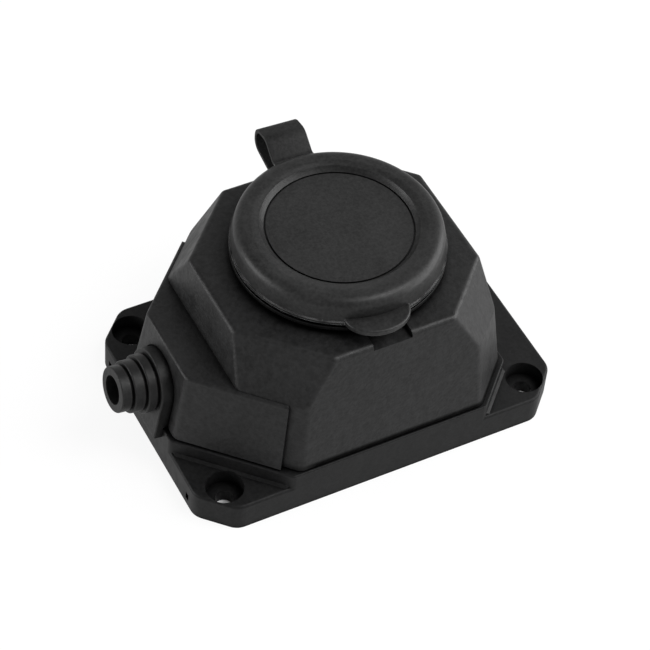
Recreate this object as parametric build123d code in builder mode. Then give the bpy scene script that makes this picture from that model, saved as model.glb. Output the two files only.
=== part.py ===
from build123d import *
from math import atan2, cos, radians, sin
import os

# Weatherproof surface socket: a flat base with four fixing pads, a tapered
# eight-sided hood with a cable box, and a round rubber cap on a strap.
# Millimetres. The origin is on the rear face, midway between the fixing holes.
# +Z points away from the wall and the cable leaves towards -X.

# Base plate
plate_length = 105.0
plate_width = 73.5
plate_corner = 8.4              # leg of each cut corner
pad_height = 8.6
deck_height = 13.4              # raised middle that carries the hood
deck_ledge = 1.4                # deck showing round the foot of the hood
deck_round = 2.0
base_floor = 3.0
base_wall = 4.6
base_edge = 0.8
plate_round = 5.0               # where the cut corners meet the sides
deck_foot = 0.7                 # small slope where the deck rises from the pads
fixing_pitch_x = 88.6
fixing_pitch_y = 57.8
fixing_hole = 4.8
fixing_counterbore = 10.2
fixing_counterbore_depth = 4.6
drain_place = 24.0              # two small drain notches in the left side
drain_width = 1.6
drain_height = 2.4
drain_depth = 2.0
drain_level = 3.2

# Hood: each side is a plane given by its distance from the cap's axis
gasket_thickness = 0.5
gasket_width = 1.6
gasket_inset = 1.0              # gasket back from the hood's face
hood_height = 48.8
hood_side_foot = 36.2           # front and back
hood_side_top = 31.9
hood_right_foot = 38.6
hood_right_top = 33.1
hood_left_foot = 41.1
hood_left_top = 36.0
corner_foot = 44.3
corner_middle = 41.4            # where the corners bend into the upper facets
corner_top = 34.4
break_height = 35.0
hood_wall = 3.0
hood_roof = 5.0
hood_round = 3.0
facet_round = 1.8
roof_round = 1.4
notch_width = 11.0
notch_depth = 1.6
notch_place = -0.7

# Cable box on the left of the hood
box_height = 35.0
box_left_foot = 51.3
box_left_top = 48.0
box_corner_foot = 45.6
box_corner_top = 42.3
box_end = 1.8                   # how far each slanting wall runs past the corner's middle
box_round = 2.6
box_edge = 0.9

# Collar and socket insert
collar_radius = 25.2
collar_height = 6.4
collar_step = 1.2               # shoulder under the strap's ring
collar_step_height = 1.4
collar_edge = 0.5
insert_gap = 0.3
cup_radius = 22.6
well_radius = 19.6
well_depth = 17.0
cup_floor = 2.4
rim_drop = 0.6                  # insert rim below the collar's top
flange_radius = 28.4
flange_thickness = 3.0
seal_thickness = 0.8
seal_width = 1.6
insert_screw_place = 26.2       # from the centre
rib_width = 4.4
rib_height = 1.7

# Contacts and their carrier
pin_pitch = 19.0
pin_radius = 2.4
pin_clearance = 0.4
sleeve_wall = 0.9
sleeve_length = 8.0
spring_wall = 0.4
spring_height = 4.0
spring_slit = 1.0
terminal_block = 7.4
terminal_plate = 7.0
terminal_plate_thickness = 1.0
carrier_radius = 18.4
carrier_height = 15.2
nut_width = 7.0
nut_height = 3.2
earth_width = 6.0
earth_thickness = 0.8
earth_reach = 19.0              # inner face of each earth arm
earth_drop = 4.0                # arm ends below the insert's rim
earth_tail = 13.0               # terminal tail below the cup
clip_radius = 1.4
recess_room = 0.4               # room round an earth arm in the cup

# Screws: shank radius, head radius and head height
housing_screw = (1.5, 3.2, 2.2)
housing_screw_place = 26.0      # from the centre, along X and along Y
housing_boss = 4.8
housing_boss_top = 30.0
thread_insert_wall = 1.0
thread_insert_length = 7.0
insert_screw = (1.2, 2.0, 1.6)
insert_screw_bite = 3.6
terminal_screw = (1.7, 3.0, 2.0)
terminal_screw_length = 5.0
centre_screw = (1.9, 3.5, 2.2)
clamp_screw = (1.5, 2.6, 1.8)
clamp_screw_bite = 6.0
fit_gap = 0.05                  # pieces that are pressed or screwed together
screw_gap = 0.3                 # screws that pass through

# Cable entry
entry_height = 22.6
cable_bore = 3.9
grommet_arch = 8.9              # radius of the arched plate in the hood's slot
grommet_plate = 3.2             # how far the plate stands out of the box
grommet_drop = 12.4             # plate's end below the cable's middle
grommet_lip = 0.8               # lip behind the wall, past the plate's edge
grommet_lip_length = 2.2
slot_gap = 0.3
plate_edge = 0.35
grommet_rings = ((7.7, 3.0), (6.9, 3.4), (6.1, 3.3))
ring_edge = 0.35
ring_groove = 0.5               # depth of the groove behind each ring's edge
ring_groove_length = 0.7
clamp_place = 40.0
clamp_width = 6.0
clamp_spread = 19.0             # between the two clamp screws
clamp_post = 3.3
clamp_thickness = 2.0
clamp_drop = 0.5                # post tops below the cable's middle

# Cap
cap_turn = -3.0                 # the cap sits slightly turned on its collar
cap_gap = 0.5
lip_gap = 1.0                   # cap's lower edge above the strap's ring
crown_gap = 1.3                 # cap's inside above the collar
cap_radius = 27.6
cap_side_lean = 0.9
cap_shoulder = 3.0
crown_edge = 3.6                # rounding where the slope meets the crown
cap_roof = 1.8
lip_band = 0.3
lip_height = 0.9
lip_edge = 0.12
disc_radius = 18.8
disc_dip = 1.2                  # disc below the crown
disc_slope = 1.7                # width of the slope round the disc
groove_width = 0.5
groove_depth = 0.5
disc_edge = 0.2
tab_width = 17.4
tab_reach = 5.2
tab_thickness = 1.8
tab_edge = 0.5

# Strap and its ring round the collar
strap_width = 11.2
strap_thickness = 1.1
strap_seat = 0.5                # flat on the back of the cap, past its lip
strap_up = 2.9                  # band's middle above the cap's lower edge
strap_lead = 1.0                # straight start before the band rises
strap_lead_bend = 2.0
strap_peak = 7.0                # highest corner of the loop, behind the cap
strap_rise = 3.4
strap_loop = 13.1               # how far the loop stands out behind the cap
strap_fall = 1.5                # from the highest corner to the back of the loop
strap_curl = 3.2
strap_heel = 2.6                # bend at the loop's lower back
strap_sag = 0.5                 # fall of the lower leg each way from the ring's level
strap_foot = 3.2                # where the lower leg flattens, past the ring
strap_foot_bend = 4.0
strap_gap = 0.05
ring_width = 2.1
ring_thickness = 1.2
ring_gap = 0.1

# Heights and radii that follow
hood_foot = deck_height + gasket_thickness
roof_under = hood_height - hood_roof
collar_top = hood_height + collar_height
collar_bore = cup_radius + insert_gap
rim_top = collar_top - rim_drop
well_floor = rim_top - well_depth
cup_under = well_floor - cup_floor
flange_top = roof_under - seal_thickness
flange_under = flange_top - flange_thickness
carrier_under = cup_under - carrier_height
sleeve_radius = pin_radius + sleeve_wall
sleeve_top = cup_under - screw_gap
sleeve_under = sleeve_top - sleeve_length
earth_top = rim_top - earth_drop
earth_terminal = cup_under - earth_tail + terminal_plate / 2 + screw_gap
thread_insert_radius = housing_screw[0] + fit_gap + thread_insert_wall
box_slope = (box_left_foot - box_left_top) / (box_height - hood_foot)
entry_reach = box_left_foot - (entry_height - hood_foot) * box_slope
lip_end = hood_wall + fit_gap + grommet_lip_length
clamp_middle = entry_height - (entry_reach - clamp_place) * box_slope
clamp_seat = clamp_middle - clamp_drop
deck_left = plate_length / 2
skirt_radius = collar_radius + cap_gap
ring_under = hood_height + collar_step_height + ring_gap
ring_radius = collar_radius + ring_gap + ring_width
cap_lip = ring_under + ring_thickness + lip_gap
cap_under = collar_top + crown_gap
disc_height = cap_under + cap_roof
cap_crown = disc_height + disc_dip
strap_start = cap_lip + strap_up
diagonals = (45, 135, 225, 315)
housing_places = [
    (housing_screw_place, housing_screw_place),
    (-housing_screw_place, housing_screw_place),
    (-housing_screw_place, -housing_screw_place),
    (housing_screw_place, -housing_screw_place),
]
clamp_places = [(-clamp_place, -clamp_spread / 2), (-clamp_place, clamp_spread / 2)]
pin_places = [(-pin_pitch / 2, 0), (pin_pitch / 2, 0)]
on_top = (Align.CENTER, Align.CENTER, Align.MIN)
below = (Align.CENTER, Align.CENTER, Align.MAX)


def leaning_side(angle, low, low_z, high, high_z):
    # plane at a distance from the cap's axis, which changes with height
    way = radians(angle)
    lean = atan2(low - high, high_z - low_z)
    outward = (cos(way) * cos(lean), sin(way) * cos(lean), sin(lean))
    return Plane(origin=(low * cos(way), low * sin(way), low_z), z_dir=outward)


def upright_side(angle, reach):
    return leaning_side(angle, reach, 0, reach, 1)


def trimmed_block(low, high, sides, inset=0):
    # block between two heights, cut by each side moved in by the inset
    with BuildPart() as block:
        with Locations((0, 0, low)):
            Box(2 * plate_length, 2 * plate_length, high - low, align=on_top)
        for side in sides:
            split(bisect_by=side.offset(-inset), keep=Keep.BOTTOM)
    return block.part


def arch_block(plane, radius, drop, depth, mode=Mode.ADD):
    # round top, and straight sides that end a distance below the middle
    with BuildSketch(plane) as outline:
        Circle(radius)
        Rectangle(2 * radius, drop, align=(Align.CENTER, Align.MIN))
    extrude(outline.sketch, amount=depth, mode=mode)


def edges_between(block, low, high):
    # edges whose middle lies between two heights
    return block.edges().filter_by(lambda e: low < e.center().Z < high)


def screw_at(places, sizes, length):
    # slotted screws with the head below its seat and the shank pointing up
    shank, head, height = sizes
    with Locations(*places):
        Cylinder(shank, length, align=on_top)
        Cylinder(head, height, align=below)
    with Locations(*[(x, y, z - height) for x, y, z in places]):
        Box(2 * head, head / 4, height / 2, align=on_top, mode=Mode.SUBTRACT)


def round_posts(plane, places, radius, height, mode=Mode.ADD):
    with BuildSketch(plane) as circles:
        with Locations(*places):
            Circle(radius)
    extrude(circles.sketch, amount=height, mode=mode)


def round_holes(plane, places, radius, depth):
    round_posts(plane, places, radius, depth, mode=Mode.SUBTRACT)


hood_sides = [
    leaning_side(0, hood_right_foot, hood_foot, hood_right_top, hood_height),
    leaning_side(90, hood_side_foot, hood_foot, hood_side_top, hood_height),
    leaning_side(180, hood_left_foot, hood_foot, hood_left_top, hood_height),
    leaning_side(270, hood_side_foot, hood_foot, hood_side_top, hood_height),
]
hood_sides += [leaning_side(a, corner_foot, hood_foot, corner_middle, break_height) for a in diagonals]
hood_sides += [leaning_side(a, corner_middle, break_height, corner_top, hood_height) for a in diagonals]
box_wall = leaning_side(180, box_left_foot, hood_foot, box_left_top, box_height)
box_sides = [leaning_side(a, box_corner_foot, hood_foot, box_corner_top, box_height) for a in (135, 225)]
box_sides += [box_wall, upright_side(45, box_end), upright_side(315, box_end)]
deck_right = hood_right_foot + deck_ledge
deck_corner_right = corner_foot + deck_ledge
deck_corner_left = box_corner_foot + deck_ledge / 2
deck_sides = [upright_side(a, plate_width / 2) for a in (90, 270)]
deck_sides += [upright_side(0, deck_right), upright_side(180, deck_left)]
deck_sides += [upright_side(a, deck_corner_right) for a in (45, 315)]
deck_sides += [upright_side(a, deck_corner_left) for a in (135, 225)]
foot_sides = [upright_side(a, plate_width / 2 - base_edge) for a in (90, 270)]
foot_sides += [upright_side(180, deck_left - base_edge)]
for angle, reach in ((0, deck_right), (45, deck_corner_right), (315, deck_corner_right),
                     (135, deck_corner_left), (225, deck_corner_left)):
    foot_sides.append(leaning_side(angle, reach + deck_foot, pad_height, reach, pad_height + deck_foot))
entry_plane = Plane(origin=(-entry_reach, 0, entry_height), x_dir=(0, 1, 0), z_dir=box_wall.z_dir)
cap_plane = Plane.XY.rotated((0, 0, cap_turn))
strap_plane = Plane(origin=(0, 0, 0), x_dir=cap_plane.y_dir, z_dir=cap_plane.x_dir)

# Base plate: cut-corner plate, raised deck, wiring tub, bosses and clamp bed
deck_block = trimmed_block(0, deck_height, deck_sides)
deck_slope = trimmed_block(pad_height, pad_height + deck_foot, foot_sides)
wiring_tub = trimmed_block(base_floor, deck_height, deck_sides, base_wall)

with BuildPart() as deck:
    add(deck_block)
    fillet(deck.edges().filter_by(Axis.Z), deck_round)
    fillet(deck.faces().sort_by(Axis.Z)[-1].edges(), base_edge / 2)

with BuildPart() as base_plate:
    with BuildSketch():
        Rectangle(plate_length, plate_width)
        chamfer(vertices(), plate_corner)
    extrude(amount=pad_height)
    fillet(base_plate.edges().filter_by(Axis.Z), plate_round)
    fillet(base_plate.faces().sort_by(Axis.Z)[-1].edges(), base_edge)
    add(deck.part)
    add(deck_slope)
    add(wiring_tub, mode=Mode.SUBTRACT)
    round_posts(Plane.XY, housing_places, housing_boss, deck_height)
    with BuildSketch():
        with Locations((-clamp_place, 0)):
            Rectangle(clamp_width, clamp_spread)
        with Locations(*clamp_places):
            Circle(clamp_post)
    extrude(amount=clamp_seat)
    with BuildSketch(Plane.YZ.offset(-clamp_place)):
        with Locations((0, clamp_middle)):
            Circle(cable_bore)
    extrude(amount=clamp_width, both=True, mode=Mode.SUBTRACT)
    round_holes(Plane.XY.offset(clamp_seat), clamp_places, clamp_screw[0] + fit_gap,
                -clamp_screw_bite - screw_gap)
    with Locations((0, 0, pad_height)):
        with GridLocations(fixing_pitch_x, fixing_pitch_y, 2, 2):
            CounterBoreHole(fixing_hole / 2, fixing_counterbore / 2, fixing_counterbore_depth)
    with Locations((-deck_left, -drain_place, drain_level), (-deck_left, drain_place, drain_level)):
        Box(2 * drain_depth, drain_width, drain_height, mode=Mode.SUBTRACT)
    seat_depth = housing_screw[2] + screw_gap
    round_holes(Plane.XY, housing_places, housing_screw[1] + screw_gap, seat_depth)
    round_holes(Plane.XY, housing_places, housing_screw[0] + screw_gap, deck_height)

# Gasket between deck and hood
gasket_inner = gasket_inset + gasket_width
gasket_hood = trimmed_block(deck_height, hood_foot, hood_sides, gasket_inset)
gasket_box = trimmed_block(deck_height, hood_foot, box_sides, gasket_inset)
open_hood = trimmed_block(deck_height, hood_foot, hood_sides, gasket_inner)
open_box = trimmed_block(deck_height, hood_foot, box_sides, gasket_inner)

with BuildPart() as housing_gasket:
    add(gasket_hood)
    add(gasket_box)
    add(open_hood, mode=Mode.SUBTRACT)
    add(open_box, mode=Mode.SUBTRACT)

# Hood: outer forms of the eight-sided body and of the cable box
hood_block = trimmed_block(hood_foot, hood_height, hood_sides)
hood_inside = trimmed_block(hood_foot, roof_under, hood_sides, hood_wall)
box_block = trimmed_block(hood_foot, box_height, box_sides)
box_inside = trimmed_block(hood_foot, box_height - hood_wall, box_sides, hood_wall)

with BuildPart() as hood_body:
    add(hood_block)
    fillet(edges_between(hood_body, hood_foot + facet_round, break_height - facet_round), hood_round)
    ridges = edges_between(hood_body, break_height - facet_round, hood_height - facet_round)
    fillet(ridges.filter_by(GeomType.LINE).filter_by(lambda e: e.length > 2 * facet_round), facet_round)
    fillet(hood_body.faces().sort_by(Axis.Z)[-1].edges(), roof_round)

with BuildPart() as box_body:
    add(box_block)
    upright = edges_between(box_body, hood_foot + box_edge, box_height - box_edge)
    fillet(upright.filter_by(lambda e: e.center().X < -box_corner_top), box_round)
    fillet(box_body.faces().sort_by(Axis.Z)[-1].edges(), box_edge)

with BuildPart() as hood:
    add(hood_body.part)
    add(box_body.part)
    add(hood_inside, mode=Mode.SUBTRACT)
    add(box_inside, mode=Mode.SUBTRACT)
    round_posts(Plane.XY.offset(hood_foot), housing_places, housing_boss, housing_boss_top - hood_foot)
    insert_hole = thread_insert_length + screw_gap
    round_holes(Plane.XY.offset(hood_foot), housing_places, thread_insert_radius + fit_gap, insert_hole)
    # collar, and the shoulder for the strap's ring
    with Locations((0, 0, hood_height)):
        Cylinder(collar_radius, collar_height, align=on_top)
    fillet(hood.edges().group_by(Axis.Z)[-1], collar_edge)
    with Locations((0, 0, hood_height)):
        Cylinder(collar_radius + collar_step, collar_step_height, align=on_top)
    round_holes(Plane.XY.offset(roof_under), [(0, 0)], collar_bore, hood_roof + collar_height)
    with BuildSketch(Plane.XY.offset(roof_under)):
        with PolarLocations(insert_screw_place, 4, start_angle=45):
            Circle(insert_screw[0] + fit_gap)
    extrude(amount=insert_screw_bite + screw_gap, mode=Mode.SUBTRACT)
    # finger notch in the front edge of the roof
    with Locations((notch_place, -collar_radius - collar_step - cap_gap, hood_height)):
        Box(notch_width, hood_side_foot, 2 * notch_depth,
            align=(Align.CENTER, Align.MAX, Align.CENTER), mode=Mode.SUBTRACT)
    # arched slot for the grommet, open at the foot
    arch_block(entry_plane.offset(-lip_end), grommet_arch + slot_gap, entry_height, 2 * lip_end,
               mode=Mode.SUBTRACT)

# Brass thread inserts in the hood's bosses, and the screws that reach them from behind
with BuildPart() as thread_inserts:
    round_posts(Plane.XY.offset(hood_foot), housing_places, thread_insert_radius, thread_insert_length)
    round_holes(Plane.XY.offset(hood_foot), housing_places, housing_screw[0] + fit_gap,
                thread_insert_length)

with BuildPart() as housing_screws:
    screw_at([(x, y, seat_depth) for x, y in housing_places], housing_screw,
             hood_foot + thread_insert_length - seat_depth - screw_gap)

# Rubber grommet: arched plate in the hood's slot with a lip behind the wall, then ever smaller rings
ring_start = grommet_plate
ring_profile = [(0, 0), (0, grommet_rings[0][0]), (ring_start, grommet_rings[0][0])]
for ring, length in grommet_rings:
    groove_end = ring_start + ring_groove_length
    ring_profile += [(ring_start, ring - ring_groove), (groove_end, ring - ring_groove)]
    ring_profile += [(groove_end, ring), (ring_start + length, ring)]
    ring_start += length
ring_profile.append((ring_start, 0))
grommet_section = Plane(origin=entry_plane.origin, x_dir=entry_plane.z_dir, z_dir=(0, 1, 0))

with BuildPart() as cable_grommet:
    arch_block(entry_plane.offset(-lip_end), grommet_arch, grommet_drop, lip_end + grommet_plate)
    front = cable_grommet.faces().sort_by(Axis(entry_plane.origin, entry_plane.z_dir))[-1]
    fillet(front.edges(), plate_edge)
    arch_block(entry_plane.offset(-lip_end), grommet_arch + grommet_lip, grommet_drop, grommet_lip_length)
    with Locations((-deck_left - fit_gap, 0, hood_foot + fit_gap)):
        Box(plate_length, plate_width, plate_length, align=(Align.MIN, Align.CENTER, Align.MAX),
            mode=Mode.SUBTRACT)
    with BuildSketch(grommet_section) as rings:
        with BuildLine():
            Polyline(*ring_profile, close=True)
        make_face()
        ends = rings.vertices().group_by(Axis.X)
        fillet([step.sort_by(Axis.Y)[-1] for step in ends[3::2]], ring_edge)
    revolve(axis=Axis(entry_plane.origin, entry_plane.z_dir))
    with BuildSketch(entry_plane.offset(-lip_end)):
        Circle(cable_bore)
    extrude(amount=lip_end + ring_start, mode=Mode.SUBTRACT)

# Cable clamp: arched saddle on two posts
with BuildPart() as cable_clamp:
    with BuildSketch(Plane.YZ.offset(-clamp_place)):
        with Locations((0, clamp_seat)):
            Rectangle(clamp_spread + 2 * clamp_post, clamp_thickness, align=(Align.CENTER, Align.MIN))
        with Locations((0, clamp_middle)):
            Circle(cable_bore + clamp_thickness)
            Circle(cable_bore, mode=Mode.SUBTRACT)
        with Locations((0, clamp_seat)):
            Rectangle(clamp_spread, clamp_spread, align=(Align.CENTER, Align.MAX), mode=Mode.SUBTRACT)
    extrude(amount=clamp_width / 2, both=True)
    round_holes(Plane.XY.offset(clamp_seat), clamp_places, clamp_screw[0] + screw_gap, clamp_thickness)

with BuildPart() as clamp_screws:
    screw_at([(-x, y, -clamp_seat - clamp_thickness) for x, y in clamp_places], clamp_screw,
             clamp_thickness + clamp_screw_bite)
clamp_screws.part = clamp_screws.part.rotate(Axis.Y, 180)

# Socket insert: cup with the plug well, held by a flange under the roof
with BuildPart() as socket_insert:
    with Locations((0, 0, cup_under)):
        Cylinder(cup_radius, rim_top - cup_under, align=on_top)
    with Locations((0, 0, flange_under)):
        Cylinder(flange_radius, flange_thickness, align=on_top)
    round_holes(Plane.XY.offset(well_floor), [(0, 0)], well_radius, well_depth)
    fillet(socket_insert.edges().group_by(Axis.Z)[-1], rim_drop)
    with BuildSketch(Plane.XY.offset(well_floor)):
        with Locations((-well_radius, 0), (well_radius, 0)):
            Rectangle(2 * rib_height, rib_width)
    extrude(amount=well_depth - earth_drop)
    with BuildSketch(Plane.XY.offset(cup_under)):
        for way in (-1, 1):
            with Locations((0, way * (earth_reach + earth_thickness / 2))):
                Rectangle(earth_width + 2 * recess_room, earth_thickness + 2 * recess_room)
    extrude(amount=earth_top + recess_room - cup_under, mode=Mode.SUBTRACT)
    round_holes(Plane.XY.offset(cup_under), pin_places, pin_radius + pin_clearance, cup_floor)
    round_holes(Plane.XY.offset(cup_under), [(0, 0)], centre_screw[0] + screw_gap, cup_floor)
    with BuildSketch(Plane.XY.offset(flange_under)):
        with PolarLocations(insert_screw_place, 4, start_angle=45):
            Circle(insert_screw[0] + screw_gap)
    extrude(amount=flange_thickness, mode=Mode.SUBTRACT)

with BuildPart() as insert_seal:
    with BuildSketch(Plane.XY.offset(flange_top)):
        Circle(collar_bore + seal_width)
        Circle(collar_bore, mode=Mode.SUBTRACT)
    extrude(amount=seal_thickness)

with BuildPart() as insert_screws:
    with PolarLocations(insert_screw_place, 4, start_angle=45) as circle:
        screw_places = [tuple(place.position + Vector(0, 0, flange_under)) for place in circle.locations]
    screw_at(screw_places, insert_screw, flange_thickness + seal_thickness + insert_screw_bite)

# Contact carrier under the cup, with pockets for the contacts and a groove for the earth strip
pocket_radius = sleeve_radius + spring_wall + 2 * fit_gap
with BuildPart() as contact_carrier:
    with Locations((0, 0, carrier_under)):
        Cylinder(carrier_radius, carrier_height, align=on_top)
    round_holes(Plane.XY.offset(carrier_under), pin_places, pocket_radius, carrier_height)
    with BuildSketch(Plane.XY.offset(carrier_under)):
        with Locations(*pin_places):
            Rectangle(terminal_block + 2 * fit_gap, terminal_block + 2 * fit_gap)
    extrude(amount=sleeve_under - carrier_under + fit_gap, mode=Mode.SUBTRACT)
    with BuildSketch(Plane.XY.offset(carrier_under)):
        RegularPolygon(nut_width / 2 + fit_gap, 6, major_radius=False)
    extrude(amount=nut_height + fit_gap, mode=Mode.SUBTRACT)
    round_holes(Plane.XY.offset(carrier_under), [(0, 0)], centre_screw[0] + screw_gap, carrier_height)
    with Locations((0, 0, cup_under)):
        Box(earth_width + 2 * fit_gap, 2 * carrier_radius, 2 * (earth_thickness + fit_gap),
            mode=Mode.SUBTRACT)
    with Locations((0, -carrier_radius, earth_terminal)):
        Cylinder(terminal_screw[0] + screw_gap, 2 * terminal_screw_length, rotation=(90, 0, 0),
                 mode=Mode.SUBTRACT)


def contact_at(place):
    with BuildPart() as contact:
        with Locations((*place, sleeve_under)):
            Cylinder(sleeve_radius, sleeve_length, align=on_top)
        with Locations((*place, carrier_under)):
            Box(terminal_block, terminal_block, sleeve_under - carrier_under, align=on_top)
        round_holes(Plane.XY.offset(sleeve_under), [place], pin_radius, sleeve_length)
        round_holes(Plane.XY.offset(carrier_under), [place], terminal_screw[0] + fit_gap,
                    terminal_screw_length)
        with Locations((*place, sleeve_top)):
            Box(2 * sleeve_radius, spring_slit, sleeve_length, mode=Mode.SUBTRACT)
    return contact


live_contact = contact_at(pin_places[0])
neutral_contact = contact_at(pin_places[1])

spring_under = sleeve_top - spring_height - screw_gap
with BuildPart() as contact_springs:
    spring_radius = sleeve_radius + fit_gap
    round_posts(Plane.XY.offset(spring_under), pin_places, spring_radius + spring_wall, spring_height)
    round_holes(Plane.XY.offset(spring_under), pin_places, spring_radius, spring_height)
    with Locations(*[(x, 2 * sleeve_radius, spring_under) for x, y in pin_places]):
        Box(spring_slit, 4 * sleeve_radius, spring_height, align=on_top, mode=Mode.SUBTRACT)

# Earth strip: across under the cup, up both sides of the well, with a tail for its terminal
with BuildPart() as earth_bracket:
    with Locations((0, 0, cup_under)):
        Box(earth_width, 2 * (earth_reach + earth_thickness), earth_thickness, align=below)
    for way, foot in ((-1, cup_under - earth_tail), (1, cup_under - earth_thickness)):
        with Locations((0, way * (earth_reach + earth_thickness / 2), foot)):
            Box(earth_width, earth_thickness, earth_top - foot, align=on_top)
        with Locations((0, way * earth_reach, earth_top - 2 * clip_radius)):
            Cylinder(clip_radius, earth_width, rotation=(0, 90, 0))
    for way in (-1, 1):
        with Locations((0, way * (earth_reach + earth_thickness), earth_top)):
            Box(earth_width, 2 * clip_radius, 6 * clip_radius,
                align=(Align.CENTER, Align.MIN if way > 0 else Align.MAX, Align.MAX), mode=Mode.SUBTRACT)
    round_holes(Plane.XY.offset(cup_under), [(0, 0)], centre_screw[0] + screw_gap, -earth_thickness)
    with Locations((0, -earth_reach, earth_terminal)):
        Cylinder(terminal_screw[0] + screw_gap, 4 * earth_thickness, rotation=(90, 0, 0),
                 mode=Mode.SUBTRACT)

with BuildPart() as terminal_plates:
    with BuildSketch(Plane.XY.offset(carrier_under)):
        with Locations(*pin_places):
            Rectangle(terminal_plate, terminal_plate)
            Circle(terminal_screw[0] + screw_gap, mode=Mode.SUBTRACT)
    extrude(amount=-terminal_plate_thickness)
    with BuildSketch(Plane.XZ.offset(earth_reach + earth_thickness)):
        with Locations((0, earth_terminal)):
            Rectangle(terminal_plate, terminal_plate)
            Circle(terminal_screw[0] + screw_gap, mode=Mode.SUBTRACT)
    extrude(amount=terminal_plate_thickness)

with BuildPart() as terminal_screws:
    screw_at([(x, y, carrier_under - terminal_plate_thickness) for x, y in pin_places], terminal_screw,
             terminal_screw_length)
    seat = earth_reach + earth_thickness + terminal_plate_thickness
    with Locations((0, -seat, earth_terminal)):
        Cylinder(terminal_screw[0], terminal_screw_length, rotation=(-90, 0, 0), align=on_top)
        Cylinder(terminal_screw[1], terminal_screw[2], rotation=(-90, 0, 0), align=below)

with BuildPart() as carrier_nut:
    with BuildSketch(Plane.XY.offset(carrier_under)):
        RegularPolygon(nut_width / 2, 6, major_radius=False)
        Circle(centre_screw[0] + fit_gap, mode=Mode.SUBTRACT)
    extrude(amount=nut_height)

with BuildPart() as carrier_screw:
    screw_at([(0, 0, -well_floor)], centre_screw, well_floor - carrier_under - screw_gap)
carrier_screw.part = carrier_screw.part.rotate(Axis.X, 180)

# Finger tab in front of the cap
tab_back = (cap_radius ** 2 - (tab_width / 2) ** 2) ** 0.5
with BuildPart() as tab:
    with BuildSketch(cap_plane.offset(cap_lip)):
        with Locations((0, -tab_back)):
            Ellipse(tab_width / 2, cap_radius + tab_reach - tab_back)
    extrude(amount=tab_thickness)
    fillet(tab.edges().filter_by(lambda e: e.length > tab_width), tab_edge)

# Cap: dished lid with a skirt over the collar, and the strap's seat behind
with BuildPart(cap_plane) as cap:
    with BuildSketch(strap_plane) as section:
        with BuildLine():
            Polyline(
                (0, cap_under), (skirt_radius, cap_under), (skirt_radius, cap_lip),
                (cap_radius + lip_band, cap_lip), (cap_radius + lip_band, cap_lip + lip_height),
                (cap_radius, cap_lip + lip_height), (cap_radius - cap_side_lean, cap_crown),
                (disc_radius + disc_slope, cap_crown), (disc_radius + groove_width, disc_height),
                (disc_radius + groove_width, disc_height - groove_depth),
                (disc_radius, disc_height - groove_depth), (disc_radius, disc_height), (0, disc_height),
                close=True,
            )
        make_face()
        crown = section.vertices().group_by(Axis.Y)[-1].sort_by(Axis.X)
        lip = section.vertices().group_by(Axis.X)[-1]
        rim = section.vertices().filter_by(lambda v: abs(v.X - disc_radius) < groove_width / 2)
        fillet(crown[-1], cap_shoulder)
        fillet(crown[0], crown_edge)
        fillet(lip, lip_edge)
        fillet(rim.sort_by(Axis.Y)[-1], disc_edge)
    revolve(axis=Axis.Z)
    add(tab.part)
    with Locations((0, cap_radius + lip_band + strap_seat, strap_start)):
        Box(strap_width, cap_radius + strap_seat - skirt_radius, strap_thickness,
            align=(Align.CENTER, Align.MAX, Align.CENTER))
    with Locations((0, 0, cap_lip)):
        Cylinder(skirt_radius, cap_under - cap_lip, align=on_top, mode=Mode.SUBTRACT)

# Strap: ring round the collar, and a band that loops out and back to the cap
with BuildPart(cap_plane) as cap_strap:
    ring_middle = ring_under + ring_thickness / 2
    band_start = cap_radius + lip_band + strap_seat + strap_gap
    loop_back = cap_radius + strap_loop
    loop_top = strap_start + strap_rise
    with BuildLine(strap_plane) as band:
        FilletPolyline(
            (band_start, strap_start), (band_start + strap_lead, strap_start),
            (cap_radius + strap_peak, loop_top), (loop_back, loop_top - strap_fall),
            (loop_back, ring_middle + strap_sag), (ring_radius + strap_foot, ring_middle - strap_sag),
            (ring_radius - ring_width / 2, ring_middle),
            radius=[strap_lead_bend, strap_curl, strap_curl, strap_heel, strap_foot_bend],
        )
    with BuildSketch(Plane(origin=band.line @ 0, x_dir=strap_plane.z_dir, z_dir=band.line % 0)):
        Rectangle(strap_width, strap_thickness)
    sweep()
    with Locations((0, 0, ring_under)):
        Cylinder(ring_radius, ring_thickness, align=on_top)
        Cylinder(collar_radius + ring_gap, 2 * strap_thickness, align=on_top, mode=Mode.SUBTRACT)

pieces = {
    "base_plate": base_plate,
    "housing_gasket": housing_gasket,
    "hood": hood,
    "thread_inserts": thread_inserts,
    "housing_screws": housing_screws,
    "cable_grommet": cable_grommet,
    "cable_clamp": cable_clamp,
    "clamp_screws": clamp_screws,
    "socket_insert": socket_insert,
    "insert_seal": insert_seal,
    "insert_screws": insert_screws,
    "contact_carrier": contact_carrier,
    "live_contact": live_contact,
    "neutral_contact": neutral_contact,
    "contact_springs": contact_springs,
    "earth_bracket": earth_bracket,
    "terminal_plates": terminal_plates,
    "terminal_screws": terminal_screws,
    "carrier_nut": carrier_nut,
    "carrier_screw": carrier_screw,
    "cap": cap,
    "cap_strap": cap_strap,
}
os.makedirs("parts", exist_ok=True)
for name, piece in pieces.items():
    piece.part.label = name
    export_step(piece.part, f"parts/{name}.step")
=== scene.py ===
from math import cos, pi, radians, sin, tan

import bmesh
import bpy
from mathutils import Matrix, Vector


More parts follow.
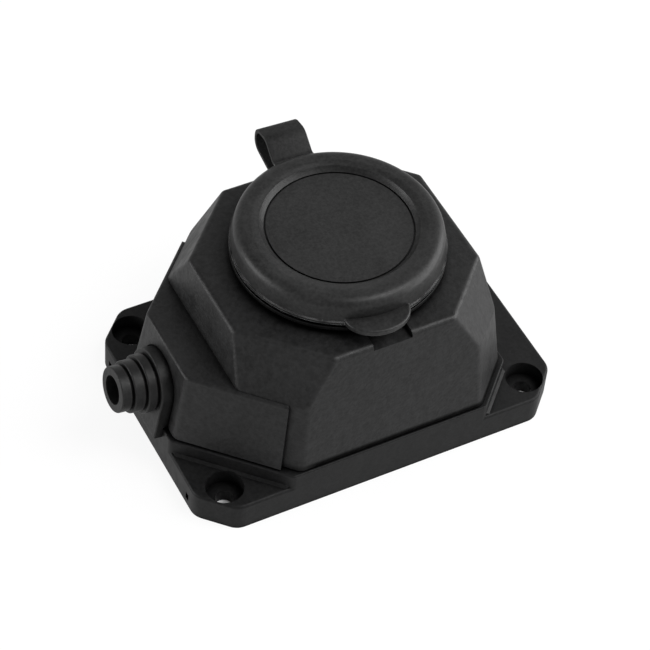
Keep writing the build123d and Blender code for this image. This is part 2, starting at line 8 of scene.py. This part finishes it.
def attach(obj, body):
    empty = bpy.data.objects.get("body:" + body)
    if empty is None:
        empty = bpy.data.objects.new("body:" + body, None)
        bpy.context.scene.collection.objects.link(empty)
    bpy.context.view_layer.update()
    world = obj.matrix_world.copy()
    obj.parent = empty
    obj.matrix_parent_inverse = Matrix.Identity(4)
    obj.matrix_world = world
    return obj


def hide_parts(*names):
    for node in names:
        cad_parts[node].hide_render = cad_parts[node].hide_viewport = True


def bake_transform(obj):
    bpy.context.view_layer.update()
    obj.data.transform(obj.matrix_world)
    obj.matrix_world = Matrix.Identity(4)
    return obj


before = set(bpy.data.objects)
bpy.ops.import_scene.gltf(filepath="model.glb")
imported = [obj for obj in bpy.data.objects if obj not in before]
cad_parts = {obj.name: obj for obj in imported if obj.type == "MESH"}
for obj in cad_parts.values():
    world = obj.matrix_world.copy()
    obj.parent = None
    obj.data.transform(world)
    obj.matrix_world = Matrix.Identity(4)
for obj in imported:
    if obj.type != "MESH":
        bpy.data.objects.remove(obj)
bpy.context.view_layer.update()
mm = 0.001
print("frame loaded:", len(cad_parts), "nodes")

# camera: fitted to the photo, looking down at the front left of the hood
photoView = {
    "azimuth": -31.421,
    "elevation": 48.893,
    "roll": 5.553,
    "distance": 0.705515,
    "raise": 0.013293,      # the optical axis passes this far above the origin
    "lens": 144.955,
    "sensor": 36,
    "nearest": 0.01,
}


def placeCamera(view):
    azimuth, elevation, roll = (radians(view[k]) for k in ("azimuth", "elevation", "roll"))
    back = Vector((sin(azimuth) * cos(elevation), -cos(azimuth) * cos(elevation), sin(elevation)))
    right = Vector((cos(azimuth), sin(azimuth), 0))
    up = back.cross(right)
    rolledRight = right * cos(roll) + up * sin(roll)
    rolledUp = up * cos(roll) - right * sin(roll)
    data = bpy.data.cameras.new("photoCamera")
    data.lens = view["lens"]
    data.sensor_width = view["sensor"]
    data.clip_start = view["nearest"]
    camera = bpy.data.objects.new("photoCamera", data)
    turn = Matrix((rolledRight, rolledUp, back)).transposed().to_4x4()
    turn.translation = back * view["distance"] + rolledUp * view["raise"]
    camera.matrix_world = turn
    bpy.context.scene.collection.objects.link(camera)
    bpy.context.scene.camera = camera


placeCamera(photoView)
print("camera placed")


# small helpers for node trees
def feed(tree, socket, value):
    # a node's output is linked, a plain value is set
    if hasattr(value, "is_output"):
        tree.links.new(value, socket)
    else:
        socket.default_value = value


def mathNode(tree, operation, first, second=0.0):
    node = tree.nodes.new("ShaderNodeMath")
    node.operation = operation
    for socket, value in zip(node.inputs, (first, second)):
        feed(tree, socket, value)
    return node.outputs[0]


def vectorNode(tree, operation, output, *values):
    node = tree.nodes.new("ShaderNodeVectorMath")
    node.operation = operation
    for socket, value in zip(node.inputs, values):
        feed(tree, socket, value)
    return node.outputs[output]


def spread(tree, value, start, stop, toStart=0.0, toStop=1.0, smooth=False):
    # one range of values carried to another and held at its ends
    node = tree.nodes.new("ShaderNodeMapRange")
    if smooth:
        node.interpolation_type = "SMOOTHSTEP"
    for label, limit in (("From Min", start), ("From Max", stop), ("To Min", toStart), ("To Max", toStop)):
        node.inputs[label].default_value = limit
    tree.links.new(value, node.inputs["Value"])
    return node.outputs[0]


def weighted(tree, first, firstShare, second, secondShare):
    return mathNode(tree, "ADD", mathNode(tree, "MULTIPLY", first, firstShare),
                    mathNode(tree, "MULTIPLY", second, secondShare))


def objectPlace(tree):
    return tree.nodes.new("ShaderNodeTexCoord").outputs["Object"]


def splitPlace(tree):
    split = tree.nodes.new("ShaderNodeSeparateXYZ")
    tree.links.new(objectPlace(tree), split.inputs[0])
    return split.outputs


def newShaderTree(owner, outputType):
    owner.use_nodes = True
    tree = owner.node_tree
    tree.nodes.clear()
    return tree, tree.nodes.new(outputType).inputs["Surface"]


def mixShaders(tree, share, first, second, target):
    mix = tree.nodes.new("ShaderNodeMixShader")
    for socket, value in zip(mix.inputs, (share, first, second)):
        tree.links.new(value, socket)
    tree.links.new(mix.outputs[0], target)


# floor, room and lamps
studio = {
    "floorSize": 6.0,
    "floorColor": (0.86, 0.86, 0.86, 1),
    "floorShown": 0.88,          # share of plain white that eye and gloss see on the floor
    "floorGloss": 0.76,          # how bright the floor is in reflections
    "covered": (0.048, 0.033),   # half size of the floor that the base hides
    "worldLight": 0.8,
    "roomShown": 0.8,
    # dim parts of the room: direction, where it starts and ends, brightness
    "dimParts": (
        ((-0.35, 0.15, 0.925), (0.64, 0.91), 0.14),     # overhead to the left
        ((-0.44, -0.74, 0.51), (0.60, 0.90), 0.28),     # behind the camera
    ),
    "lamps": {
        # name: place, aim, size, power
        "rightLamp": ((0.85, -0.25, 0.20), (0.02, 0, 0.03), 1.0, 14.0),
        "leftLamp": ((-0.90, 0.30, 0.16), (-0.02, 0, 0.02), 0.6, 7.0),
        "frontLamp": ((0.10, -1.00, 0.35), (0, 0, 0.02), 0.7, 0.3),
        "highLamp": ((0.36, -0.36, 0.92), (0, 0, 0.03), 0.5, 6.0),
    },
}


def shownBackground(tree):
    # 1 where the eye, a reflection or glass looks at the backdrop, 0 where it only gives light
    path = tree.nodes.new("ShaderNodeLightPath").outputs
    mirrored = mathNode(tree, "MAXIMUM", path["Is Glossy Ray"], path["Is Transmission Ray"])
    return mathNode(tree, "MAXIMUM", path["Is Camera Ray"], mirrored)


def buildFloor(values):
    mesh = bpy.data.meshes.new("floor")
    bm = bmesh.new()
    bmesh.ops.create_grid(bm, x_segments=1, y_segments=1, size=values["floorSize"] / 2)
    bm.to_mesh(mesh)
    bm.free()
    floor = bpy.data.objects.new("floor", mesh)
    bpy.context.scene.collection.objects.link(floor)
    paint = bpy.data.materials.new("floorPaint")
    tree, surface = newShaderTree(paint, "ShaderNodeOutputMaterial")
    plain = tree.nodes.new("ShaderNodeBsdfDiffuse")
    plain.inputs["Color"].default_value = values["floorColor"]
    glow = tree.nodes.new("ShaderNodeEmission")
    # the floor under the base, seen through the fixing holes, is not lit up
    place = splitPlace(tree)
    past = [mathNode(tree, "GREATER_THAN", mathNode(tree, "ABSOLUTE", place[axis]), half)
            for axis, half in enumerate(values["covered"])]
    beside = mathNode(tree, "MAXIMUM", *past)
    shown = mathNode(tree, "MULTIPLY", shownBackground(tree), beside)
    share = mathNode(tree, "MULTIPLY", shown, values["floorShown"])
    seen = tree.nodes.new("ShaderNodeLightPath").outputs["Is Camera Ray"]
    tree.links.new(mathNode(tree, "MAXIMUM", seen, values["floorGloss"]), glow.inputs["Strength"])
    mixShaders(tree, share, plain.outputs[0], glow.outputs[0], surface)
    mesh.materials.append(paint)


def buildWorld(values):
    # eye and gloss see a pale room with its dim parts, and its light on the object is even
    world = bpy.data.worlds.new("studioWorld")
    bpy.context.scene.world = world
    tree, surface = newShaderTree(world, "ShaderNodeOutputWorld")
    light = tree.nodes.new("ShaderNodeBackground")
    light.inputs["Strength"].default_value = values["worldLight"]
    room = tree.nodes.new("ShaderNodeBackground")
    place = tree.nodes.new("ShaderNodeTexCoord").outputs["Generated"]
    shown = values["roomShown"]
    for side, reach, darkest in values["dimParts"]:
        towards = vectorNode(tree, "DOT_PRODUCT", "Value", place, side)
        dim = spread(tree, towards, *reach, values["roomShown"], darkest, smooth=True)
        shown = mathNode(tree, "MINIMUM", dim, shown)
    tree.links.new(shown, room.inputs["Strength"])
    mixShaders(tree, shownBackground(tree), light.outputs[0], room.outputs[0], surface)


def buildLamps(values):
    for name, (place, aim, size, power) in values["lamps"].items():
        data = bpy.data.lights.new(name, "AREA")
        data.size = size
        data.energy = power
        lamp = bpy.data.objects.new(name, data)
        lamp.location = place
        lamp.rotation_euler = (Vector(aim) - Vector(place)).to_track_quat("-Z", "Y").to_euler()
        bpy.context.scene.collection.objects.link(lamp)


bpy.context.scene.view_settings.view_transform = "Standard"
buildFloor(studio)
buildWorld(studio)
buildLamps(studio)
print("studio built")

# surface effects that several finishes share: ranges are where a mask starts and is full
effects = {
    "grain": {"scale": 1800.0, "detail": 1.0, "pitScale": 0.6, "pitShare": 0.7, "speckle": (0.55, 1.05)},
    "cloud": {"scale": 60.0, "toneDetail": 4.0, "toneRough": 0.6, "tone": (0.3, 0.7),
              "stretch": (1, 1, 0.6), "mottleScale": 7, "mottleDetail": 3.0, "mottle": (0.35, 0.65)},
    "edgeWearAndHighlight": {"radius": 0.0008, "samples": 4, "edge": (0.995, 0.90),
                "breakup": 220.0, "breakDetail": 3.0, "broken": (0.3, 0.6)},
    "flecks": {"scale": 260.0, "speck": (0.07, 0.03), "patchScale": 0.23, "cover": 0.1, "coverFrom": 0.3},
    # painted shade, strongest where the surface is most sheltered
    "creviceShade": {"reach": 0.0025, "samples": 8, "sheltered": (0.85, 0.35)},
}


def newGroup(name, inputs, outputs):
    group = bpy.data.node_groups.new(name, "ShaderNodeTree")
    for label, value in inputs.items():
        socket = group.interface.new_socket(label, in_out="INPUT", socket_type="NodeSocketFloat")
        socket.default_value = value
    for label in outputs:
        group.interface.new_socket(label, in_out="OUTPUT", socket_type="NodeSocketFloat")
    start = group.nodes.new("NodeGroupInput").outputs
    end = group.nodes.new("NodeGroupOutput").inputs
    return group, start, end


def noiseNode(tree, place, scale, detail=2.0, rough=0.5):
    node = tree.nodes.new("ShaderNodeTexNoise")
    for label, value in (("Vector", place), ("Scale", scale), ("Detail", detail), ("Roughness", rough)):
        feed(tree, node.inputs[label], value)
    return node.outputs[0]


def voronoiNode(tree, place, scale, feature="F1"):
    node = tree.nodes.new("ShaderNodeTexVoronoi")
    node.feature = feature
    for label, value in (("Vector", place), ("Scale", scale)):
        feed(tree, node.inputs[label], value)
    return node.outputs["Distance"]


def stretchedPlace(tree, place, scale):
    stretch = tree.nodes.new("ShaderNodeMapping")
    stretch.inputs["Scale"].default_value = scale
    tree.links.new(place, stretch.inputs["Vector"])
    return stretch.outputs[0]


def makeGrain(values):
    # fine etched texture of a mould: small pits over a softer unevenness
    group, start, end = newGroup("mouldGrain", {"Scale": values["scale"]}, ("Height", "Speckle"))
    place = objectPlace(group)
    fine = noiseNode(group, place, start["Scale"], values["detail"])
    pitScale = mathNode(group, "MULTIPLY", start["Scale"], values["pitScale"])
    pits = mathNode(group, "MULTIPLY", voronoiNode(group, place, pitScale, "SMOOTH_F1"), values["pitShare"])
    height = mathNode(group, "ADD", fine, pits)
    group.links.new(height, end["Height"])
    group.links.new(spread(group, height, *values["speckle"]), end["Speckle"])
    return group


def makeCloud(values):
    # slow change in tone and gloss, as handling and flow lines leave on a moulding
    group, start, end = newGroup("surfaceCloud", {"Scale": values["scale"]}, ("Tone", "Mottle"))
    place = objectPlace(group)
    tone = noiseNode(group, place, start["Scale"], values["toneDetail"], values["toneRough"])
    group.links.new(spread(group, tone, *values["tone"]), end["Tone"])
    mottleScale = mathNode(group, "MULTIPLY", start["Scale"], values["mottleScale"])
    stretched = stretchedPlace(group, place, values["stretch"])
    mottle = noiseNode(group, stretched, mottleScale, values["mottleDetail"])
    group.links.new(spread(group, mottle, *values["mottle"]), end["Mottle"])
    return group


def makeEdgeWearAndHighlight(values):
    # rubbed edges and painted edge highlights: where the rounded normal leaves the true one
    inputs = {"Radius": values["radius"], "Breakup": values["breakup"]}
    group, start, end = newGroup("edgeWearAndHighlight", inputs, ("Mask",))
    bevel = group.nodes.new("ShaderNodeBevel")
    bevel.samples = values["samples"]
    group.links.new(start["Radius"], bevel.inputs["Radius"])
    trueNormal = group.nodes.new("ShaderNodeNewGeometry").outputs["Normal"]
    agrees = vectorNode(group, "DOT_PRODUCT", "Value", bevel.outputs[0], trueNormal)
    edge = spread(group, agrees, *values["edge"])
    patches = noiseNode(group, objectPlace(group), start["Breakup"], values["breakDetail"])
    broken = spread(group, patches, *values["broken"])
    group.links.new(mathNode(group, "MULTIPLY", edge, broken), end["Mask"])
    return group


def makeFlecks(values):
    # sparse specks of lint and dust
    inputs = {"Scale": values["scale"], "Cover": values["cover"]}
    group, start, end = newGroup("lintFlecks", inputs, ("Mask",))
    place = objectPlace(group)
    speck = spread(group, voronoiNode(group, place, start["Scale"]), *values["speck"])
    patch = noiseNode(group, place, mathNode(group, "MULTIPLY", start["Scale"], values["patchScale"]))
    few = mathNode(group, "LESS_THAN", patch, mathNode(group, "ADD", start["Cover"], values["coverFrom"]))
    group.links.new(mathNode(group, "MULTIPLY", speck, few), end["Mask"])
    return group


def makeCreviceShade(values):
    # painted shade: darker where the surface is sheltered, in corners and gaps
    group, start, end = newGroup("paintedCreviceShade", {"Reach": values["reach"]}, ("Mask",))
    shelter = group.nodes.new("ShaderNodeAmbientOcclusion")
    shelter.samples = values["samples"]
    group.links.new(start["Reach"], shelter.inputs["Distance"])
    group.links.new(spread(group, shelter.outputs["AO"], *values["sheltered"]), end["Mask"])
    return group


grain = makeGrain(effects["grain"])
cloud = makeCloud(effects["cloud"])
edgeWearAndHighlight = makeEdgeWearAndHighlight(effects["edgeWearAndHighlight"])
flecks = makeFlecks(effects["flecks"])
creviceShade = makeCreviceShade(effects["creviceShade"])
print("surface effects ready")


def newFinish(name):
    material = bpy.data.materials.new(name)
    material.use_nodes = True
    tree = material.node_tree
    return material, tree, tree.nodes["Principled BSDF"]


def placeGroup(tree, group, **values):
    node = tree.nodes.new("ShaderNodeGroup")
    node.node_tree = group
    for label, value in values.items():
        node.inputs[label].default_value = value
    return node.outputs


def mixColor(tree, mask, first, second):
    node = tree.nodes.new("ShaderNodeMix")
    node.data_type = "RGBA"
    tree.links.new(mask, node.inputs["Factor"])
    for index, value in ((6, first), (7, second)):      # the node's colour sockets
        feed(tree, node.inputs[index], value if hasattr(value, "is_output") else (*value, 1))
    return node.outputs[2]


def bumpFrom(tree, height, strength, distance, under=None):
    node = tree.nodes.new("ShaderNodeBump")
    node.inputs["Strength"].default_value = strength
    node.inputs["Distance"].default_value = distance
    tree.links.new(height, node.inputs["Height"])
    if under:
        tree.links.new(under, node.inputs["Normal"])
    return node.outputs[0]


# moulded and rubber finishes, one dictionary each
finishes = {
    "hoodPlastic": {
        "dark": (0.0004, 0.0004, 0.0004), "light": (0.0104, 0.0104, 0.0107),
        "rubbedAndHighlight": (0.016, 0.016, 0.016),
        "grainScale": 1200, "grainBump": 0.42, "grainDepth": 0.00014, "cloudScale": 70,
        "roughLow": 0.40, "roughHigh": 0.64, "edgeRadius": 0.0009, "edgeShare": 0.1,
        "specular": 0.34, "creviceReach": 0.003, "creviceShare": 0.8,
        "footShade": (0.0147, 0.0157),           # painted shade along the hood's foot, where the gap under it is dark
        "footShadeFrom": (-0.030, -0.022),       # and not on the cable box
    },
    "basePlastic": {
        "dark": (0.0050, 0.0050, 0.0051), "light": (0.0120, 0.0120, 0.0122),
        "rubbedAndHighlight": (0.020, 0.020, 0.020),
        "grainScale": 1800, "grainBump": 0.10, "grainDepth": 0.00008, "cloudScale": 60,
        "roughLow": 0.42, "roughHigh": 0.56, "edgeRadius": 0.0005, "edgeShare": 0.2,
        "specular": 0.13, "creviceReach": 0.003, "creviceShare": 0.7,
    },
    "capRubber": {
        "dark": (0.0070, 0.0070, 0.0070), "light": (0.0210, 0.0210, 0.0210),
        # bright edge colour: a painted highlight on the lip and tab edges
        "rubbedAndHighlight": (0.22, 0.22, 0.22),
        "grainScale": 1700, "grainBump": 0.18, "grainDepth": 0.0001, "cloudScale": 95,
        "roughLow": 0.33, "roughHigh": 0.47, "edgeRadius": 0.0004, "edgeShare": 0.7,
        "specular": 0.225, "creviceReach": 0.002, "creviceShare": 0.45, "fleckShare": 0.5,
        "highlightBelow": (0.0536, 0.0544),       # painted highlight only on the lip and tab edges
        "crestStart": 0.0197, "crest": 0.0228, "crestDepth": 0.0007,    # soft crest round the disc
    },
    "strapRubber": {
        "dark": (0.0060, 0.0060, 0.0060), "light": (0.0190, 0.0190, 0.0190),
        "rubbedAndHighlight": (0.050, 0.050, 0.050),
        "grainScale": 1900, "grainBump": 0.16, "grainDepth": 0.0001, "cloudScale": 130,
        "roughLow": 0.48, "roughHigh": 0.62, "edgeRadius": 0.0004, "edgeShare": 0.5,
        "specular": 0.12, "creviceReach": 0.002, "creviceShare": 0.6, "fleckShare": 0.3,
    },
    # a darker copy of the strap's rubber: painted shade for the ring in the shadow under the cap's lip
    "shadedRingRubber": {
        "dark": (0.0010, 0.0010, 0.0010), "light": (0.0060, 0.0060, 0.0060),
        "rubbedAndHighlight": (0.012, 0.012, 0.012),
        "grainScale": 1900, "grainBump": 0.16, "grainDepth": 0.0001, "cloudScale": 200,
        "roughLow": 0.36, "roughHigh": 0.50, "edgeRadius": 0.0003, "edgeShare": 0.3,
        "specular": 0.12, "creviceReach": 0.002, "creviceShare": 0.8, "fleckShare": 0.2,
    },
    "grommetRubber": {
        "dark": (0.0035, 0.0035, 0.0035), "light": (0.0090, 0.0090, 0.0090),
        "rubbedAndHighlight": (0.03, 0.03, 0.03),
        "grainScale": 1400, "grainBump": 0.22, "grainDepth": 0.0001, "cloudScale": 180,
        "roughLow": 0.40, "roughHigh": 0.58, "edgeRadius": 0.0005, "edgeShare": 0.6,
        "specular": 0.26, "creviceReach": 0.0018, "creviceShare": 0.7, "fleckShare": 0.3,
    },
    "insertPlastic": {
        "dark": (0.0080, 0.0080, 0.0084), "light": (0.0130, 0.0130, 0.0134),
        "rubbedAndHighlight": (0.024, 0.024, 0.024),
        "grainScale": 2400, "grainBump": 0.06, "grainDepth": 0.00006, "cloudScale": 80,
        "roughLow": 0.32, "roughHigh": 0.42, "edgeRadius": 0.0005, "edgeShare": 0.4,
        "specular": 0.4, "creviceReach": 0.002, "creviceShare": 0.3, "fleckShare": 0.1,
    },
    "carrierPlastic": {
        "dark": (0.60, 0.585, 0.55), "light": (0.68, 0.665, 0.63),
        "rubbedAndHighlight": (0.74, 0.73, 0.7),
        "grainScale": 2000, "grainBump": 0.08, "grainDepth": 0.00008, "cloudScale": 90,
        "roughLow": 0.38, "roughHigh": 0.5, "edgeRadius": 0.0005, "edgeShare": 0.4,
        "specular": 0.5, "creviceReach": 0.002, "creviceShare": 0.1, "fleckShare": 0.2,
    },
    "clampNylon": {
        "dark": (0.17, 0.17, 0.17), "light": (0.24, 0.24, 0.24),
        "rubbedAndHighlight": (0.3, 0.3, 0.3),
        "grainScale": 1700, "grainBump": 0.12, "grainDepth": 0.00008, "cloudScale": 120,
        "roughLow": 0.42, "roughHigh": 0.55, "edgeRadius": 0.0005, "edgeShare": 0.4,
        "specular": 0.45, "creviceReach": 0.002, "creviceShare": 0.2, "fleckShare": 0.1,
    },
}

# how the effects add up in every moulded finish
mouldedMix = {
    "speckleTone": 0.55,
    "cloudTone": 0.45,
    "cloudGloss": 0.6,
    "mottleGloss": 0.4,
    "lint": (0.16, 0.16, 0.155),
    # black for the painted shade in crevices and along the hood's foot
    "paintedShade": (0, 0, 0),
}


def paintedShadeMask(tree, values):
    # painted shade in corners and gaps, and a painted shadow band along the hood's foot where a finish has
    # one
    sheltered = placeGroup(tree, creviceShade, Reach=values["creviceReach"])["Mask"]
    paintedShade = mathNode(tree, "MULTIPLY", sheltered, values["creviceShare"])
    # painted shadow: a black band along the hood's foot, fading upwards
    if "footShade" in values:
        place = splitPlace(tree)
        low = spread(tree, place["Z"], *values["footShade"], 1, 0)
        along = spread(tree, place["X"], *values["footShadeFrom"])
        paintedShade = mathNode(tree, "MAXIMUM", paintedShade, mathNode(tree, "MULTIPLY", low, along))
    return paintedShade


def crestBump(tree, values, under):
    # rises with the distance from the cap's axis
    flat = vectorNode(tree, "MULTIPLY", "Vector", objectPlace(tree), (1, 1, 0))
    away = vectorNode(tree, "LENGTH", "Value", flat)
    rise = spread(tree, away, values["crestStart"], values["crest"], smooth=True)
    return bumpFrom(tree, rise, 1.0, values["crestDepth"], under)


def makeMoulded(name, values, mix):
    material, tree, shader = newFinish(name)
    grainOut = placeGroup(tree, grain, Scale=values["grainScale"])
    cloudOut = placeGroup(tree, cloud, Scale=values["cloudScale"])
    wearAndHighlightOut = placeGroup(tree, edgeWearAndHighlight, Radius=values["edgeRadius"])
    tone = weighted(tree, grainOut["Speckle"], mix["speckleTone"], cloudOut["Tone"], mix["cloudTone"])
    color = mixColor(tree, tone, values["dark"], values["light"])
    wearAndHighlight = mathNode(tree, "MULTIPLY", wearAndHighlightOut["Mask"], values["edgeShare"])
    # the cap's painted edge highlight stays on the lip and tab
    if "highlightBelow" in values:
        below = spread(tree, splitPlace(tree)["Z"], *values["highlightBelow"], 1, 0)
        wearAndHighlight = mathNode(tree, "MULTIPLY", wearAndHighlight, below)
    # edges get a lighter colour: wear, and on the cap's lip and tab a painted highlight
    color = mixColor(tree, wearAndHighlight, color, values["rubbedAndHighlight"])
    if "fleckShare" in values:
        lint = mathNode(tree, "MULTIPLY", placeGroup(tree, flecks)["Mask"], values["fleckShare"])
        color = mixColor(tree, lint, color, mix["lint"])
    # painted shade: corners and gaps darkened towards black
    paintedShade = paintedShadeMask(tree, values)
    color = mixColor(tree, paintedShade, color, mix["paintedShade"])
    tree.links.new(paintedShade, shader.inputs["Metallic"])     # with black, this also takes the gloss out of the painted shade
    tree.links.new(color, shader.inputs["Base Color"])
    gloss = weighted(tree, cloudOut["Tone"], mix["cloudGloss"], cloudOut["Mottle"], mix["mottleGloss"])
    rough = spread(tree, gloss, 0, 1, values["roughLow"], values["roughHigh"])
    tree.links.new(rough, shader.inputs["Roughness"])
    normal = bumpFrom(tree, grainOut["Height"], values["grainBump"], values["grainDepth"])
    if "crest" in values:
        normal = crestBump(tree, values, normal)
    tree.links.new(normal, shader.inputs["Normal"])
    shader.inputs["Specular IOR Level"].default_value = values["specular"]
    return material


moulded = {name: makeMoulded(name, values, mouldedMix) for name, values in finishes.items()}
print("moulded finishes:", ", ".join(moulded))

# metals: drawn brass and plated steel
metals = {
    "drawnBrass": {
        "dark": (0.50, 0.34, 0.11), "light": (0.70, 0.50, 0.20), "rubbedAndHighlight": (0.85, 0.68, 0.36),
        "lineScale": 2400, "roughLow": 0.22, "roughHigh": 0.4,
    },
    "platedSteel": {
        "dark": (0.42, 0.42, 0.42), "light": (0.60, 0.60, 0.59), "rubbedAndHighlight": (0.78, 0.78, 0.77),
        "lineScale": 2800, "roughLow": 0.24, "roughHigh": 0.42,
    },
}

# drawing lines, stains and bright edges that both metals have
metalMix = {
    "drawn": (1, 1, 0.05),      # the lines run upwards
    "lineTone": 0.5,
    "cloudTone": 0.5,
    "cloudScale": 260.0,
    "glossRange": (0.2, 0.8),
    "edgeRadius": 0.0003,
    "edgeBreakup": 600.0,
    "edgeShare": 0.7,
    "lineBump": 0.12,
    "lineDepth": 0.00003,
}


def makeMetal(name, values, mix):
    material, tree, shader = newFinish(name)
    drawn = stretchedPlace(tree, objectPlace(tree), mix["drawn"])
    lines = noiseNode(tree, drawn, values["lineScale"])
    cloudOut = placeGroup(tree, cloud, Scale=mix["cloudScale"])
    wearAndHighlightOut = placeGroup(tree, edgeWearAndHighlight, Radius=mix["edgeRadius"], Breakup=mix["edgeBreakup"])
    tone = weighted(tree, lines, mix["lineTone"], cloudOut["Tone"], mix["cloudTone"])
    color = mixColor(tree, tone, values["dark"], values["light"])
    wearAndHighlight = mathNode(tree, "MULTIPLY", wearAndHighlightOut["Mask"], mix["edgeShare"])
    tree.links.new(mixColor(tree, wearAndHighlight, color, values["rubbedAndHighlight"]), shader.inputs["Base Color"])
    rough = spread(tree, tone, *mix["glossRange"], values["roughLow"], values["roughHigh"])
    tree.links.new(rough, shader.inputs["Roughness"])
    tree.links.new(bumpFrom(tree, lines, mix["lineBump"], mix["lineDepth"]), shader.inputs["Normal"])
    shader.inputs["Metallic"].default_value = 1.0
    return material


metalFinish = {name: makeMetal(name, values, metalMix) for name, values in metals.items()}
print("metal finishes:", ", ".join(metalFinish))

# which finish each carried-over node wears
wears = {
    "hoodPlastic": ["hood"],
    "basePlastic": ["base_plate"],
    "capRubber": ["cap"],
    "grommetRubber": ["cable_grommet", "housing_gasket", "insert_seal"],
    "insertPlastic": ["socket_insert"],
    "carrierPlastic": ["contact_carrier"],
    "clampNylon": ["cable_clamp"],
    "drawnBrass": ["live_contact", "neutral_contact", "thread_inserts"],
    "platedSteel": ["contact_springs", "earth_bracket", "terminal_plates", "terminal_screws", "carrier_nut",
                    "carrier_screw", "housing_screws", "clamp_screws", "insert_screws"],
}
allFinishes = {**moulded, **metalFinish}
for finish, nodeNames in wears.items():
    for nodeName in nodeNames:
        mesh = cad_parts[nodeName].data
        mesh.materials.clear()
        mesh.materials.append(allFinishes[finish])
print("nodes dressed")

# strap: a ring round the collar, and a band that loops from the ring back to the cap, in millimetres
strap = {
    "turn": -3.0,               # the cap sits slightly turned on its collar
    "width": 11.2,
    "thickness": 1.1,
    "edge": 0.25,               # rounding along the band and the ring
    "edgeSegments": 4,
    "ringInner": 25.3,
    "ringOuter": 27.9,
    "ringLow": 50.3,
    "ringHigh": 51.5,
    "ringSteps": 144,
    # corners of the band's middle line: distance back, height, radius of the bend
    "loop": ((28.41, 55.4, 0), (29.45, 55.4, 2.0), (34.6, 58.8, 3.2), (40.7, 57.3, 3.2), (40.7, 51.4, 2.6),
             (38.21, 51.154, 0)),
    "leg": ((38.21, 51.154, 0), (30.6, 50.4, 4.0), (26.35, 50.9, 0)),
    "bendSteps": 8,             # to a radian
    "fewestSteps": 4,
    "blendStart": (38.21, 51.16),
    "blendEnd": (33.4, 58.0),
    "weld": 0.005,
    "sharpAngle": 40,
}


def strapPoint(side, back, up):
    turn = radians(strap["turn"])
    return Vector((side * cos(turn) - back * sin(turn), side * sin(turn) + back * cos(turn), up)) * mm


def pick(geometry, kind):
    return [part for part in geometry if isinstance(part, kind)]


def roundedProfile(bm, corners):
    # closed loop of edges round a small rectangle with soft corners
    face = bm.faces.new([bm.verts.new(corner) for corner in corners])
    bmesh.ops.bevel(bm, geom=list(face.verts), offset=strap["edge"] * mm, offset_type="OFFSET",
                    affect="VERTICES", segments=strap["edgeSegments"], profile=0.5, material=-1)
    loop = list(bm.edges)
    bmesh.ops.delete(bm, geom=list(bm.faces), context="FACES_ONLY")
    return loop


def addBand(bm, corners):
    # rectangle pushed along each run and spun round each bend
    half, rise = strap["width"] / 2, strap["thickness"] / 2
    sideways = strapPoint(1, 0, 0).normalized()
    places = [Vector(corner[:2]) for corner in corners]
    heading = (places[1] - places[0]).normalized()
    across = Vector((-heading.y, heading.x))
    ends = [places[0] + across * rise * up for up in (-1, 1)]
    outline = [strapPoint(side * half, *end)
               for end, sides in zip(ends, ((-1, 1), (1, -1))) for side in sides]
    loop = roundedProfile(bm, outline)
    firstLoop = loop
    start = places[0]
    for index in range(1, len(places)):
        here = places[index]
        heading = (here - places[index - 1]).normalized()
        stop, bend = here, corners[index][2]
        if bend:
            after = (places[index + 1] - here).normalized()
            turn = heading.angle_signed(after)      # clockwise in the strap's plane
            reach = bend * abs(tan(turn / 2))
            stop = here - heading * reach
        pushed = bmesh.ops.extrude_edge_only(bm, edges=loop)["geom"]
        bmesh.ops.translate(bm, verts=pick(pushed, bmesh.types.BMVert), vec=strapPoint(0, *(stop - start)))
        loop = pick(pushed, bmesh.types.BMEdge)
        start = stop
        if bend:
            inward = Vector((heading.y, -heading.x)) * (1 if turn > 0 else -1)
            middle = stop + inward * bend
            steps = max(strap["fewestSteps"], int(abs(turn) * strap["bendSteps"]))
            spun = bmesh.ops.spin(bm, geom=loop, cent=strapPoint(0, *middle), axis=sideways, dvec=(0, 0, 0),
                                  angle=-turn, steps=steps, use_duplicate=False)["geom_last"]
            loop = pick(spun, bmesh.types.BMEdge)
            start = here + after * reach
    for end in (firstLoop, loop):
        bmesh.ops.contextual_create(bm, geom=end)


def addRing(bm):
    inner, outer = strap["ringInner"] * mm, strap["ringOuter"] * mm
    low, high = strap["ringLow"] * mm, strap["ringHigh"] * mm
    loop = roundedProfile(bm, ((inner, 0, low), (outer, 0, low), (outer, 0, high), (inner, 0, high)))
    bmesh.ops.spin(bm, geom=loop, cent=(0, 0, 0), axis=(0, 0, 1), dvec=(0, 0, 0), angle=2 * pi,
                   steps=strap["ringSteps"], use_merge=True, use_duplicate=False)


def newPiece(name, finish, shape, *corners):
    bm = bmesh.new()
    shape(bm, *corners)
    bmesh.ops.remove_doubles(bm, verts=list(bm.verts), dist=strap["weld"] * mm)
    bmesh.ops.recalc_face_normals(bm, faces=list(bm.faces))
    mesh = bpy.data.meshes.new(name)
    bm.to_mesh(mesh)
    bm.free()
    mesh.shade_smooth()
    mesh.set_sharp_from_angle(angle=radians(strap["sharpAngle"]))
    mesh.materials.append(finish)
    piece = bpy.data.objects.new(name, mesh)
    bpy.context.scene.collection.objects.link(piece)
    return piece


strapRing = newPiece("strapRing", moulded["shadedRingRubber"], addRing)
strapLeg = newPiece("strapLeg", moulded["strapRubber"], addBand, strap["leg"])
strapLoop = newPiece("strapLoop", moulded["strapRubber"], addBand, strap["loop"])
strapPieces = (strapRing, strapLeg, strapLoop)
for piece in (strapRing, strapLeg):
    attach(piece, "housing")
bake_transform(strapLoop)
for piece in strapPieces:
    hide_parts("cap_strap")
print("strap built:", sum(len(piece.data.polygons) for piece in strapPieces), "faces")
